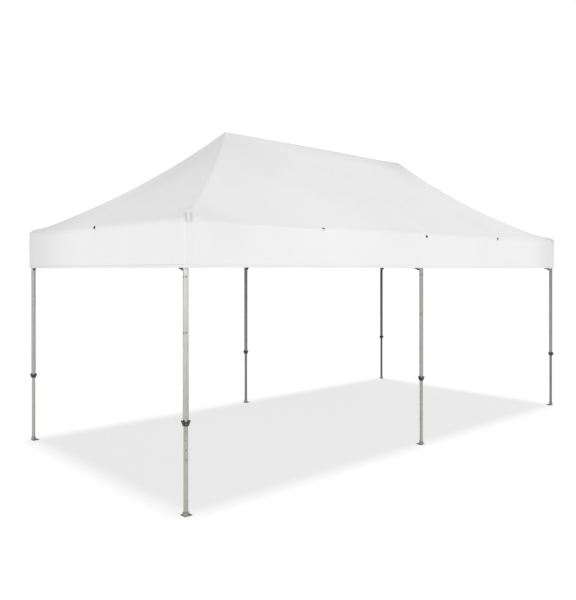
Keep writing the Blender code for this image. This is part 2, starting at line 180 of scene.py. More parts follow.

# Painted shade on each leg, and painted light where it is below zero: at its head, above its collar and
# below it
LEG_PAINTED_SHADE = {
    "front_left": (-0.62, 0.03, -0.1),
    "front_middle": (0.02, 0.1, 0.0),
    "front_right": (0.29, 0.26, 0.385),
    "back_left": (0.18, 0.14, -0.04),
    "back_middle": (0.63, 0.48, 0.43),
    "back_right": (0.8, 0.69, 0.72),
}
SLEEVE_GREYNESS = 0.25

# Tubes, across flats, and the height and face of each hole
OUTER_AF = 0.04
OUTER_WALL = 0.0018
INNER_AF = 0.032
INNER_WALL = 0.0016
TUBE_CORNER = 0.0055
TUBE_ROUNDED = 0.0006
GROOVE_WIDE = 0.005
GROOVE_DEEP = 0.0006
OUTER_HOLES = ((1.775, 0), (1.775, 1), (1.36, 0), (1.36, 1), (1.005, 1), (0.93, 0), (0.86, 1))
RIVETED_ABOVE = 1.2
INNER_HOLES = ((0.63, 1), (0.56, 1), (0.49, 1), (0.42, 1))
PIN_HOLE = 0.004

# Turned heads, as radius and height
RIVET_HEAD = ((0.006, -0.0003), (0.0062, 0.001), (0.0052, 0.0022), (0.0028, 0.0029), (0.0003, 0.003))
BOLT_HEAD = ((0.0074, -0.0004), (0.0076, 0.0016), (0.0064, 0.0032), (0.0036, 0.0042), (0.0003, 0.0044))
WASHER_RING = ((0.01, 0.0002), (0.0215, 0.0002), (0.0222, 0.0009), (0.021, 0.0016), (0.0145, 0.002))
EYELET_CAP = ((0.015, 0.0012), (0.0154, 0.0028), (0.0132, 0.005), (0.0084, 0.0062), (0.0004, 0.0066))
LOCK_BOSS = ((0.0098, -0.006), (0.0104, 0.005), (0.01, 0.0066), (0.009, 0.0072), (0.0084, 0.0064))
LOCK_BUTTON = ((0.008, 0.003), (0.008, 0.0088), (0.0072, 0.01), (0.0042, 0.0106), (0.0003, 0.0107))

# Small sleeves on the legs, as across flats, height and corner
FOOT_WELD = (
    (0.0396, 0.0036, 0.004),
    (0.0440, 0.0042, 0.006),
    (0.0430, 0.0058, 0.006),
    (0.0404, 0.0078, 0.005),
    (0.0396, 0.0070, 0.004),
)
FOOT_SLEEVE = (
    (0.0403, 0.0076, 0.0050),
    (0.0412, 0.0082, 0.0055),
    (0.0412, 0.0298, 0.0055),
    (0.0402, 0.0308, 0.0050),
    (0.0327, 0.0308, 0.0050),
    (0.0327, 0.0303, 0.0050),
    (0.0402, 0.0303, 0.0050),
    (0.0403, 0.0290, 0.0050),
)
TIE_BAND = (
    (0.0404, 1.9660, 0.004),
    (0.0428, 1.9665, 0.004),
    (0.0428, 1.9975, 0.004),
    (0.0404, 1.9980, 0.004),
)

# The collar, as across flats, share of its height, rise over that and corner
COLLAR = (
    (0.0400, 0, 0, 0.006),
    (0.0440, 0, 0.0006, 0.006),
    (0.0458, 0, 0.0026, 0.006),
    (0.0474, 0.18, 0, 0.007),
    (0.0510, 0.36, 0, 0.008),
    (0.0575, 0.55, 0, 0.009),
    (0.0622, 0.70, 0, 0.009),
    (0.0640, 0.79, 0, 0.009),
    (0.0638, 1, -0.0060, 0.009),
    (0.0622, 1, -0.0020, 0.009),
    (0.0592, 1, 0, 0.009),
    (0.0500, 1, 0, 0.006),
    (OUTER_AF + 0.0008, 1, -0.0012, 0.0035),
    (OUTER_AF + 0.0008, 0, 0.0136, 0.0035),
    (INNER_AF + 0.0016, 0, 0.0136, 0.0030),
    (INNER_AF + 0.0016, 0, 0.0008, 0.0030),
)

# Truss pivots and the faces of their bars and ears
HIGH_PIVOT_Z = 2.14
LOW_PIVOT_Z = 1.885
PIVOT_OUT = 0.055
JUNCTION_OUT = 0.045
BAR_OFFSET = 0.0062
EAR_FACE = 0.0113

# Collars: how low the rim stands, the scoops in some faces' rims, the button's boss and the ribs
RIM_LOW = 0.005
SCOOPED_FACES = (1, 3, 5)
SCOOP_DEEP = 0.012
SCOOP_FROM = 0.3
SCOOP_FLAT = 0.004
SCOOP_HALF = 0.0155
BOSS_OUT = 0.0225
BOSS_SHARE = 0.42
RIB_OUT = 0.0315
RIB_APART = 0.009

# Camera, worked out from the photo's legs
CAMERA_AT = (-5.615, -5.519, 1.831)
CAMERA_TURN = -42.48
CAMERA_LENS = 38.93
CAMERA_SHIFT = (0.001, -0.0514)

# Studio light. A patch of the sky has a direction, an outer and an inner angle and a gain
SKY_LOW = 1.04
SKY_HIGH = 0.4
SKY_PATCHES = (
    ((-0.95, -0.40, 0.05), 50.0, 15.0, 1.02),
    ((-0.79, 0.62, 0.02), 38.0, 18.0, -0.72),
    ((-0.02, -1.00, 0.00), 24.0, 10.0, -0.45),
    ((0.30, -1.00, -0.10), 30.0, 10.0, -0.60),
    ((-0.50, 0.10, 0.86), 30.0, 10.0, -0.15),
    ((0.99, 0.06, 0.02), 30.0, 12.0, 0.60),
)
OVERHEAD = 0.78
FRONT_KEY = 0.1
FLOOR_SHADE = 8.2
FLOOR_ALBEDO = 0.08
FLOOR_GLOW = 0.755
FLOOR_REACH = 150.0


def feed(made, values):
    """Sets a shader node's inputs to numbers or colours, or links them to outputs."""
    for key, value in values.items():
        if isinstance(value, bpy.types.NodeSocket):
            made.id_data.links.new(value, made.inputs[key])
        else:
            made.inputs[key].default_value = value


def node(tree, kind, values=(), output=0, **settings):
    """Adds a shader node and returns one of its outputs."""
    made = tree.nodes.new("ShaderNode" + kind)
    for name, value in settings.items():
        setattr(made, name, value)
    feed(made, dict(values))
    return made.outputs[output]


def calc(operation, first, second=0.0):
    """A sum over an output, in the tree that it is in."""
    return node(first.id_data, "Math", {0: first, 1: second}, operation=operation)


def spread(value, low, high, to_low=0.0, to_high=1.0):
    """The value moved from one range to another, and held inside it."""
    return node(value.id_data, "MapRange", {0: value, 1: low, 2: high, 3: to_low, 4: to_high})


def mixed(share, first, second):
    """A colour between two, by a share from 0 to 1."""
    return node(share.id_data, "Mix", {0: share, 6: first, 7: second}, 2, data_type="RGBA")


def noise(place, scale, detail=3.0, **more):
    return node(place.id_data, "TexNoise", {"Vector": place, "Scale": scale, "Detail": detail, **more})


def bump(height, strength, distance, **more):
    values = {"Height": height, "Strength": strength, "Distance": distance, **more}
    return node(height.id_data, "Bump", values)


def dulled(colour):
    """A colour darkened by the greyness stored on the surface's points: painted shade on the cloth and
    the leg tubes, and painted light where it is below zero.
    """
    tree = colour.id_data
    stored = node(tree, "Attribute", output=2, attribute_name="greyness")
    kept = node(tree, "Math", {0: 1.0, 1: stored}, operation="SUBTRACT")
    return node(tree, "VectorMath", {0: colour, "Scale": kept}, operation="SCALE")


def blank(name, roughness, metallic=0.0):
    """A material, its tree and its Principled shader."""
    made = bpy.data.materials.new(name)
    made.use_nodes = True
    tree = made.node_tree
    shader = tree.nodes["Principled BSDF"]
    feed(shader, {"Roughness": roughness, "Metallic": metallic})
    return made, tree, shader


def grey(value, warmth=0.0):
    return (value * (1 + warmth), value, value * (1 - warmth), 1)


def darker(colour, share):
    return tuple(value * share for value in colour[:3]) + (1,)


def thread_mask(across, along, rows, stitch=0.0042, half_wide=0.0006):
    """1 on the stitches of seams that run along a strip at some places across it."""
    step = calc("FRACT", calc("DIVIDE", along, stitch))
    dash = calc("LESS_THAN", step, 0.74)
    mask = None
    for row in rows:
        off = calc("ABSOLUTE", calc("SUBTRACT", across, row))
        line = calc("LESS_THAN", off, half_wide)
        mask = line if mask is None else calc("MAXIMUM", mask, line)
    return calc("MULTIPLY", mask, dash)


def cloth_look(name, seams=(), tone=1.0, weave=0.0011):
    """Coated white polyester: fine plain weave, faint mottling, soft creases and any stitching."""
    made, tree, shader = blank(name, 0.62)
    uv = node(tree, "TexCoord", output=2)
    place = node(tree, "TexCoord", output=3)
    along, across = (node(tree, "SeparateXYZ", {"Vector": uv}, axis) for axis in (0, 1))
    turns = [calc("MULTIPLY", way, 2 * pi / weave) for way in (along, across)]
    cross = calc("MULTIPLY", *(calc("SINE", turn) for turn in turns))
    mottle = noise(place, 2.3, 5.0)
    speck = noise(place, 160.0)
    crease = noise(place, 5.0, Distortion=1.4)
    clean, dull = ((level * tone, (level - 0.004) * tone, level * tone, 1) for level in (0.836, 0.822))
    # The stored greyness darkens the cloth with painted shade, and lightens it with painted light where
    # it is below zero
    colour = dulled(mixed(spread(mottle, 0.35, 0.65), clean, dull))
    colour = mixed(spread(speck, 0.6, 0.75, 0.0, 0.05), colour, grey(0.55, 0.02))
    relief = bump(crease, 0.35, 0.0035)
    relief = bump(cross, 0.3, 0.00008, Normal=relief)
    if seams:
        thread = thread_mask(across, along, seams)
        colour = mixed(calc("MULTIPLY", thread, 0.2), colour, grey(0.6))
        relief = bump(thread, 0.8, 0.0005, Normal=relief)
    rough = spread(mottle, 0.3, 0.7, 0.56, 0.68)
    feed(shader, {"Base Color": colour, "Roughness": rough, "Normal": relief})
    feed(shader, {"Specular IOR Level": 0.35, "Sheen Weight": 0.06})
    return made


def metal_look(name, colour, roughness, streak=0.05, grime=0.0):
    """Extruded aluminium: long fine draw marks, faint blotches and some handling dirt."""
    made, tree, shader = blank(name, roughness, 1.0)
    place = node(tree, "TexCoord", output=3)
    long_grain = node(tree, "Mapping", {"Vector": place, "Scale": (900.0, 900.0, 6.0)})
    grain = noise(long_grain, 1.0, 4.0)
    blotch = noise(place, 14.0, 5.0)
    marks = node(tree, "Mapping", {"Vector": place, "Scale": (60.0, 60.0, 240.0)})
    rub = noise(marks, 1.0, 2.0)
    shade = mixed(spread(grain, 0.3, 0.7), darker(colour, 1 - 2.2 * streak), colour)
    dirty = spread(blotch, 0.5, 0.78, 0.0, 0.25 + grime)
    # The stored greyness darkens the leg tubes with painted shade, and lightens parts of the front left
    # leg with painted light
    shade = dulled(mixed(dirty, shade, darker(colour, 0.62)))
    rough = calc("ADD", spread(blotch, 0.3, 0.7, -0.06, 0.08), roughness)
    rough = calc("ADD", rough, spread(rub, 0.58, 0.72, 0.0, 0.1))
    relief = bump(grain, 0.25, 0.0001)
    feed(shader, {"Base Color": shade, "Roughness": rough, "Normal": relief})
    return made


def moulded_look(name, value, roughness=0.46):
    """Moulded nylon: fine spark-eroded grain, cloudy darker and lighter tone and paler rubs."""
    made, tree, shader = blank(name, roughness)
    place = node(tree, "TexCoord", output=3)
    grain = noise(place, 2200.0, 2.0)
    cloud = noise(place, 60.0, 4.0)
    scuff = noise(place, 420.0)
    tone = mixed(spread(cloud, 0.35, 0.7), grey(value * 0.85), grey(value * 1.25))
    tone = mixed(spread(scuff, 0.62, 0.74, 0.0, 0.3), tone, grey(value + 0.09))
    rough = spread(cloud, 0.3, 0.7, roughness - 0.06, roughness + 0.1)
    relief = bump(grain, 0.35, 0.00006)
    feed(shader, {"Base Color": tone, "Roughness": rough, "Normal": relief, "Specular IOR Level": 0.35})
    return made


def zinc_look(name, value):
    """Dull zinc-plated steel: spangle, stains and a little rust in spots."""
    made, tree, shader = blank(name, 0.5, 0.85)
    place = node(tree, "TexCoord", output=3)
    spangle = node(tree, "TexVoronoi", {"Vector": place, "Scale": 260.0}, 1)
    stain = noise(place, 45.0, 6.0)
    rust = noise(place, 120.0, 6.0)
    flakes = node(tree, "SeparateColor", {0: spangle})
    tone = mixed(flakes, grey(value * 0.8, 0.01), grey(value * 1.25, 0.01))
    tone = mixed(spread(stain, 0.45, 0.7, 0.0, 0.5), tone, grey(value * 0.55, 0.03))
    tone = mixed(spread(rust, 0.66, 0.74, 0.0, 0.5), tone, (0.16, 0.085, 0.045, 1))
    rough = spread(stain, 0.3, 0.7, 0.4, 0.62)
    relief = bump(stain, 0.3, 0.00015)
    feed(shader, {"Base Color": tone, "Roughness": rough, "Normal": relief})
    return made


def webbing_look(name):
    """White woven tape, ribbed across its width."""
    made, tree, shader = blank(name, 0.8)
    uv = node(tree, "TexCoord", output=2)
    rib = node(tree, "TexWave", {"Vector": uv, "Scale": 95.0, "Distortion": 0.4}, 1)
    tone = mixed(spread(noise(uv, 900.0), 0.35, 0.7), grey(0.66), grey(0.78))
    feed(shader, {"Base Color": tone, "Normal": bump(rib, 0.7, 0.0006)})
    return made


# Finishes: a look and the record's slot that it belongs to
CLOTH = cloth_look("white_fabric_cover"), "white_fabric"
TAPE = cloth_look("white_fabric_tape", seams=(-0.0135, 0.0135), tone=0.975), "white_fabric"
HEM = cloth_look("white_fabric_hem", seams=(0.003, 0.0215), tone=0.975), "white_fabric"
PATCH = cloth_look("white_fabric_patch", seams=(0.004, 0.009), tone=0.99), "white_fabric"
WEBBING = webbing_look("white_webbing"), "white_fabric"
OUTER_METAL = metal_look("aluminium_outer", (0.47, 0.47, 0.45, 1), 0.34), "satin_aluminium"
INNER_METAL = metal_look("aluminium_inner", (0.42, 0.415, 0.39, 1), 0.38, grime=0.15), "satin_aluminium"
BAR_METAL = metal_look("aluminium_bar", (0.58, 0.585, 0.58, 1), 0.34), "satin_aluminium"
PLASTIC = moulded_look("dark_grey_nylon", 0.03), "dark_grey_plastic"
BUTTON = moulded_look("grey_nylon", 0.1, 0.4), "dark_grey_plastic"
ZINC = zinc_look("dull_zinc", 0.14), "dull_steel"
WELD = zinc_look("bright_weld", 0.34), "dull_steel"
EYELET_METAL = zinc_look("dark_eyelet", 0.02), "dull_steel"
WASHER = moulded_look("white_nylon", 0.82, 0.4), "white_fabric"
BRIGHT = metal_look("bright_fastener", (0.66, 0.66, 0.65, 1), 0.28, 0.03), "dull_steel"


def linked(name, data):
    """An object of the scene that holds a mesh, a light or a camera."""
    made = bpy.data.objects.new(name, data)
    bpy.context.scene.collection.objects.link(made)
    return made


def mesh_of(name, points, faces):
    mesh = bpy.data.meshes.new(name)
    mesh.from_pydata([tuple(point) for point in points], [], faces)
    return mesh


def values_of(items, name, wide, kind=np.float32):
    """One property of all of a mesh's items, as rows."""
    values = np.empty(len(items) * wide, kind)
    items.foreach_get(name, values)
    return values.reshape(-1, wide)


def placed(name, mesh, finish, body="root", smooth=35):
    """A mesh as a piece of the object, painted and riding on a body."""
    look, slot = finish
    mesh.shade_smooth()
    mesh.set_sharp_from_angle(angle=radians(smooth))
    mesh.materials.clear()
    mesh.materials.append(look)
    made = linked(name, mesh)
    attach(made, body)
    return made


def piece(name, form, finish, body="root", uv=None, smooth=35):
    """A form of points and faces as a piece. Cloth has coordinates and greyness."""
    mesh = mesh_of(name, *form)
    mesh.validate()
    if uv is not None:
        layer = mesh.uv_layers.new(name="cloth")
        corners = values_of(mesh.loops, "vertex_index", 1, np.int32)[:, 0]
        layer.data.foreach_set("uv", np.asarray(uv, np.float32)[corners].ravel())
        store_greyness(mesh, greyness(form[0]))
    return placed(name, mesh, finish, body, smooth)


def store_greyness(mesh, values):
    """Stores how grey each point is, from one number or one for each point."""
    layer = mesh.attributes.new("greyness", "FLOAT", "POINT")
    layer.data.foreach_set("value", np.full(len(mesh.vertices), values, np.float32))


def ramp(value, start, over):
    """0 up to a start, then a straight rise to 1 over a distance."""
    return np.clip((value - start) / over, 0, 1)


def eased(share):
    """A straight rise made smooth at both its ends."""
    return share * share * (3 - 2 * share)


def hump(value, wide):
    """1 at zero, falling off smoothly on both sides."""
    return np.exp(-((value / wide) ** 2))


def from_edges(x, y):
    """How far plan points lie in from the nearer end and long side."""
    return HALF_LENGTH - np.abs(x), HALF_WIDTH - np.abs(y)


def greyness(points):
    """How much painted shade darkens the cloth at some points; below zero it is painted light."""
    points = np.asarray(points, float)
    x, y, up = points.T
    # Painted shade over the roof, growing from the eave to the peaks
    total = ROOF_SHADE * ramp(up, EAVE_Z - 0.035, 0.03) + HEIGHT_SHADE * ramp(up, EAVE_Z, PEAK_Z - EAVE_Z)
    # Painted shade in a band beside the ridge, towards its right end
    band = np.clip(1 - np.abs(y) / RIDGE_WIDE, 0, 1) * ramp(up, PEAK_Z - 0.15, 0.05)
    total = total + RIDGE_SHADE * band * ramp(x, -0.9, 1.2)
    # Painted shade round each spot's centre, and painted light where the strength is below zero
    for centre, radius, strength in SHADE_AND_LIGHT_SPOTS:
        near = np.clip(1 - np.linalg.norm(points - centre, axis=1) / radius, 0, 1)
        total = total + strength * eased(near)
    return total


def joined(forms):
    """Several (points, faces) forms as one."""
    points, faces = [], []
    for some_points, some_faces in forms:
        start = len(points)
        points.extend(tuple(point) for point in some_points)
        faces.extend([tuple(start + index for index in face) for face in some_faces])
    return points, faces


def lofted(rings, looped=False):
    """Skin through rings of equal length. Looped, the last ring meets the first."""
    count = len(rings[0])
    points = [tuple(point) for ring in rings for point in ring]
    faces = []
    for level in range(len(rings) if looped else len(rings) - 1):
        low, high = level * count, (level + 1) % len(rings) * count
        for i in range(count):
            j = (i + 1) % count
            faces.append((low + i, low + j, high + j, high + i))
    if not looped:
        faces.append(tuple(reversed(range(count))))
        faces.append(tuple(range(len(points) - count, len(points))))
    return points, faces


def turned(profile, centre, axis, sides=24):
    """Body turned about an axis, from pairs of radius and height."""
    up = Vector(axis).normalized()
    first = up.orthogonal().normalized()
    second = up.cross(first)
    turns = [2 * pi * i / sides for i in range(sides)]
    ways = [first * cos(turn) + second * sin(turn) for turn in turns]
    return lofted([[centre + up * height + way * radius for way in ways] for radius, height in profile])


def hexagon(across_flats, corner, groove=0.0):
    """Plan points of a six-sided tube with round corners and grooved faces."""
    points = []
    half = across_flats / 2
    for side in range(6):
        face = radians(60 * side)
        out = Vector((cos(face), sin(face)))
        along = Vector((-out.y, out.x))
        for offset, depth in ((-1, 0), (-0.7, groove), (0.7, groove), (1, 0)):
            points.append(out * (half - depth) + along * offset * GROOVE_WIDE / 2)
        turn = face + radians(30)
        centre = Vector((cos(turn), sin(turn))) * (half - corner) / cos(radians(30))
        for step in range(5):
            angle = face + radians(60) * step / 4
            points.append(centre + Vector((cos(angle), sin(angle))) * corner)
    return points


def hex_sleeve(outline, at):
    """Hollow six-sided body, outlined by across flats, height, corner and any groove."""
    rings = []
    for across, height, *shape in outline:
        rings.append([(at.x + p.x, at.y + p.y, height) for p in hexagon(across, *shape)])
    return lofted(rings, looped=True)


def drilled(name, form, cutters, finish, body):
    """A form with round holes cut through it."""
    base = piece(name, form, finish, body)
    tools = [linked("cutter", mesh_of("cutter", *cutter)) for cutter in cutters]
    for tool in tools:
        cut = base.modifiers.new("cut", "BOOLEAN")
        cut.operation = "DIFFERENCE"
        cut.object = tool
    bpy.context.view_layer.update()
    whole = base.evaluated_get(bpy.context.evaluated_depsgraph_get())
    base.modifiers.clear()
    base.data = bpy.data.meshes.new_from_object(whole)
    base.data.set_sharp_from_angle(angle=radians(35))
    for tool in tools:
        bpy.data.objects.remove(tool, do_unlink=True)
    return base


def softened(node_name, width, finish, body="root"):
    """A solid's copy with its edges rounded, which stands in for it."""
    form = bmesh.new()
    form.from_mesh(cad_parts[node_name].data)
    bmesh.ops.remove_doubles(form, verts=form.verts, dist=1e-5)
    bmesh.ops.dissolve_limit(form, angle_limit=radians(1), verts=form.verts, edges=form.edges)
    bmesh.ops.recalc_face_normals(form, faces=form.faces)
    edges = [e for e in form.edges if len(e.link_faces) == 2 and e.calc_face_angle() > 0.4]
    rounding = {"segments": 2, "profile": 0.6, "clamp_overlap": True}
    bmesh.ops.bevel(form, geom=edges, offset=width, affect="EDGES", **rounding)
    mesh = bpy.data.meshes.new(node_name + "_finish")
    form.to_mesh(mesh)
    form.free()
    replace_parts(placed(node_name + "_finish", mesh, finish, body, 28), node_name)


def graded(start, end):
    """Values from start to end, close together at the start and wider further on."""
    steps = [FINE_STEP]
    while sum(steps) < end - start:
        steps.append(min(steps[-1] * STEP_GROWTH, WIDE_STEP))
    return start + np.concatenate(([0.0], np.cumsum(steps))) * (end - start) / sum(steps)


def eave_shift(along, reach, long_side):
    """How far an eave stands above or below its plain height, by the place along it."""
    waves = sum(depth * hump(along - centre, wide) for centre, wide, depth in LONG_WAVES)
    shift = (waves - LONG_SAG) * (1 - HEAD_LIFT * hump(along, HEAD_WIDE))
    return np.where(long_side, shift, END_RISE) * (1 - hump(reach, EAVE_FADE))


def drape(x, y):
    """Slow rise and fall of the roof's cloth, from a few crossing waves."""
    waves = ((2.1, 3.4, 0.3), (-3.3, 2.2, 1.9), (5.2, 1.7, 4.0), (1.3, -6.1, 2.6), (7.4, 4.9, 5.1))
    return sum(np.sin(a * x + b * y + phase) for a, b, phase in waves) / len(waves)


def roof_z(x, y):
    """Height of the cloth's top over plan points."""
    from_end, from_side = from_edges(x, y)
    long_side = from_side <= from_end
    inset = np.minimum(from_end, from_side)
    share = inset / HALF_WIDTH
    taper = np.where(long_side, 1 - share * HALF_WIDTH / HALF_LENGTH, np.maximum(1 - share, 1e-6))
    across = np.where(long_side, x, y) / taper
    reach = np.where(long_side, HALF_LENGTH, HALF_WIDTH) - np.abs(across)
    near_corner = (x < 0) & (y < 0)
    lift = np.where(near_corner, NEAR_CORNER_LIFT, CORNER_LIFT)
    eave = EAVE_Z + lift * np.clip(1 - reach / LIFT_REACH, 0, 1) ** 2
    eave = eave + eave_shift(across, reach, long_side)
    from_head = np.sqrt(head_gap(from_end, from_side) + DOME_ROUND**2) - DOME_ROUND
    dome = np.where(near_corner, 0, HEAD_DOME) * np.exp(-from_head / DOME_REACH)
    # Hips are crisp at the eave, soft from just above it, and crisper again towards the peaks
    soft = HIP_SOFT * np.clip((inset - HIP_SOFT_FROM) / HIP_SOFT_RISE, 0.01, 1)
    soft = soft * np.clip(1.05 - 1.2 * share, 0.05, 1)
    blend = np.clip(1 - np.abs(from_end - from_side) / soft, 0, 1)
    share = share - blend * blend * soft / 4 / HALF_WIDTH
    bow = 4 * share * (1 - share)
    hang = bow * (ROOF_SAG * (1 + SAG_SKEW * (share - 0.5)) + RIGHT_SETTLE * ramp(x, 0, MAST_X))
    # All hips but the near one are drawn tauter
    taut = np.where(x < 0, ramp(y, 0, HIP_TAUT_RISE), 1) * hump(from_end - from_side, HIP_TAUT_WIDE)
    hang = hang * (1 - HIP_TAUT * taut)
    slack = DRAPE * drape(x, y) * np.clip(bow, 0, 1)
    return eave + (PEAK_Z - eave - ridge_dip(x, y)) * share - hang + slack + dome


def head_gap(from_end, from_side):
    """Squared distance in plan from a corner leg's middle."""
    return (from_end - EDGE_INSET) ** 2 + (from_side - EDGE_INSET) ** 2


def ridge_dip(x, y):
    """How far the ridge hangs, most of it just before the right mast."""
    before_mast = eased(np.clip((MAST_X - x) / DIP_END, 0, 1))
    return ramp(x, DIP_START, DIP_RUN) ** 2 * (PEAK_DIP + RIDGE_DIP * before_mast) * hump(y, DIP_WIDE)


def lean(x, y):
    """How far the roof is drawn to the right, all of it at the right mast's head."""
    inset = np.minimum(*from_edges(x, y))
    return RIGHT_LEAN * ramp(inset, EDGE_INSET, HALF_WIDTH - EDGE_INSET) * ramp(x, -MAST_X, 2 * MAST_X)


def unleaned(x, y):
    """Plan places along X before the roof was drawn to the right."""
    start = x
    for _ in range(4):
        start = x - lean(start, y)
    return start


def valance_wave(along, turn, share):
    """How far the hanging border stands out from its plane, more towards the hem."""
    slow = np.sin(along * 6.1 + turn * 1.7) + 0.6 * np.sin(along * 11.3 + turn * 4.1)
    return HEM_WAVE * share**1.5 * slow / 1.6


class Rim:
    """Stations all round the cover, where the roof turns down into the border."""

    def __init__(self, lines_x, lines_y):
        rows = len(lines_y)
        far_i, far_j = len(lines_x) - 1, rows - 1
        corners = ((0, 0), (far_i, 0), (far_i, far_j), (0, far_j))
        stations = []
        for side, (i, j) in enumerate(corners):
            end_i, end_j = corners[(side + 1) % 4]
            step_i, step_j = np.sign(end_i - i), np.sign(end_j - j)
            sign = (1 if i else -1, 1 if j else -1)
            # The first half of a corner belongs to the side before it
            for step in range(CORNER_STEPS + 1):
                turn = pi / 2 * (side - 2 + step / CORNER_STEPS)
                part = (side - 1) % 4 if step * 2 < CORNER_STEPS else side
                stations.append((i, j, (cos(turn), sin(turn)), sign, part))
            while (i + step_i, j + step_j) != (end_i, end_j):
                i, j = i + step_i, j + step_j
                stations.append((i, j, (step_j, -step_i), (0, 0), side))
        i, j, self.out, self.corner, self.side = (np.array(values) for values in zip(*stations))
        self.index = (i * rows + j).tolist()
        self.base = np.column_stack((lines_x[i], lines_y[j]))
        self.count = len(stations)

    def plan(self, inset):
        """Plan points of the outline at a distance in from the cover's side."""
        inset = np.broadcast_to(inset, (self.count,))[:, None]
        straight = self.base + self.out * (EDGE_INSET - inset)
        sides = np.array((HALF_LENGTH, HALF_WIDTH))
        sharp = self.corner * (sides - inset)
        rounded = self.corner * (sides - CORNER_RADIUS) + self.out * (CORNER_RADIUS - inset)
        bent = np.where(inset < CORNER_RADIUS, rounded, sharp)
        return np.where(self.corner[:, :1] != 0, bent, straight)

    def edge(self, turn):
        """Points of the rounded eave, from 90 degrees at its top to 0 where it hangs plumb."""
        plan = self.plan(EDGE_RADIUS * (1 - cos(turn)))
        height = roof_z(plan[:, 0], plan[:, 1]) - EDGE_RADIUS * (1 - sin(turn))
        return np.column_stack((plan, height))

    def border(self, share, proud=0.0):
        """Points of the hanging border, from 0 at the eave to 1 at the hem."""
        top = self.edge(0.0)[:, 2]
        along = np.where(self.side % 2 == 0, self.base[:, 0], self.base[:, 1])
        wave = valance_wave(along, self.side, share) * self.untied(along)
        hem = HEM_Z - HEM_DROP + self.rise(along)
        plan = self.plan(HEM_INSET * share - wave - proud)
        return np.column_stack((plan, top + (hem - top) * share))

    def untied(self, along, tied_at_start=()):
        """0 by a leg, where the border is tied, and 1 away from it. Some sides count one end only."""
        half = np.where(self.side % 2 == 0, HALF_LENGTH, HALF_WIDTH)
        gap = np.where(np.isin(self.side, tied_at_start), half + along, half - np.abs(along))
        gap = np.where(self.side == 0, np.minimum(gap, np.abs(along)), gap)
        return ramp(gap, TIED_REACH, TIED_FADE)

    def rise(self, along):
        """How far the hem is raised: not at all by the legs, apart from the back right one."""
        return np.take(HEM_RISES, self.side) * self.untied(along, (1, 2)) ** 2


def cloth_lines():
    """Grid lines of the roof, with the same steps from each side, so that hips cut squares."""
    insets = graded(EDGE_INSET, HALF_WIDTH)
    half_x = np.concatenate((graded(0.0, MAST_X), (HALF_LENGTH - insets[::-1])[1:]))
    half_y = HALF_WIDTH - insets[::-1]
    half_y[0] = 0.0
    return [np.concatenate((-half[:0:-1], half)) for half in (half_x, half_y)]


def corner_relief(points):
    """Pleats and a knob in the cloth over each corner leg's head, and painted shade in the pleats and
    down the corners.
    """
    x, y, z = points.T
    from_end, from_side = from_edges(x, y)
    inward = (from_end + from_side) / sqrt(2)
    lateral = (from_end - from_side) / sqrt(2)
    high = ramp(z, EAVE_Z - 0.036, 0.014)
    relief = KNOB_HIGH * hump(inward - KNOB_IN, KNOB_WIDE) * hump(lateral + KNOB_ASIDE, KNOB_WIDE)
    shade = np.zeros(len(points))
    for at, drift, leaning, wide, depth, start, end, dark in PLEATS:
        run = ramp(inward, start, 0.02) * np.clip((end - inward) / 0.035, 0, 1)
        middle = at + drift * np.clip((EAVE_Z + 0.02 - z) / 0.04, 0, 1) - leaning * np.clip(inward, 0, 1)
        fold = run * hump(lateral - middle, wide)
        relief = relief - depth * fold
        shade = shade + dark * fold
    # A short crease along the end's eave beside the corner
    relief = relief - 0.006 * hump(from_side - 0.105, 0.035) * hump(from_end - 0.012, 0.009)
    # The leg's head holds the cloth up
    head = np.exp(-head_gap(from_end, from_side) / HEAD_REACH**2)
    relief = np.where(relief < 0, relief * (1 - head), relief)
    # Painted shade down each corner of the hanging border
    corner_line = 0.035 * hump(from_end + from_side, 0.022) * (1 - high)
    return high * relief, high * shade + corner_line


def tension_relief(points):
    """Faint folds that fan out from the corners across the slopes."""
    from_end, from_side = from_edges(points[:, 0], points[:, 1])
    far = np.hypot(from_end, from_side)
    angle = np.arctan2(from_side, from_end)
    sign = np.sign(points[:, 0]) + 2 * np.sign(points[:, 1])
    fade = np.exp(-far / 0.55) * ramp(far, 0, 0.15) * ramp(np.minimum(from_side, from_end), 0, 0.05)
    return 0.0022 * fade * np.sin(angle * 15 + sign * 1.3)


def split_quad(square, x, y):
    """A roof square as one face, or as two where a hip crosses it, cut along the hip."""
    a, b, c, d = square
    from_end, from_side = from_edges(x, y)
    if abs(from_end - from_side) > 1e-4 or abs(x) < MAST_X:
        return [square]
    if x * y > 0:
        return [(a, b, c), (a, c, d)]
    return [(a, b, d), (b, c, d)]


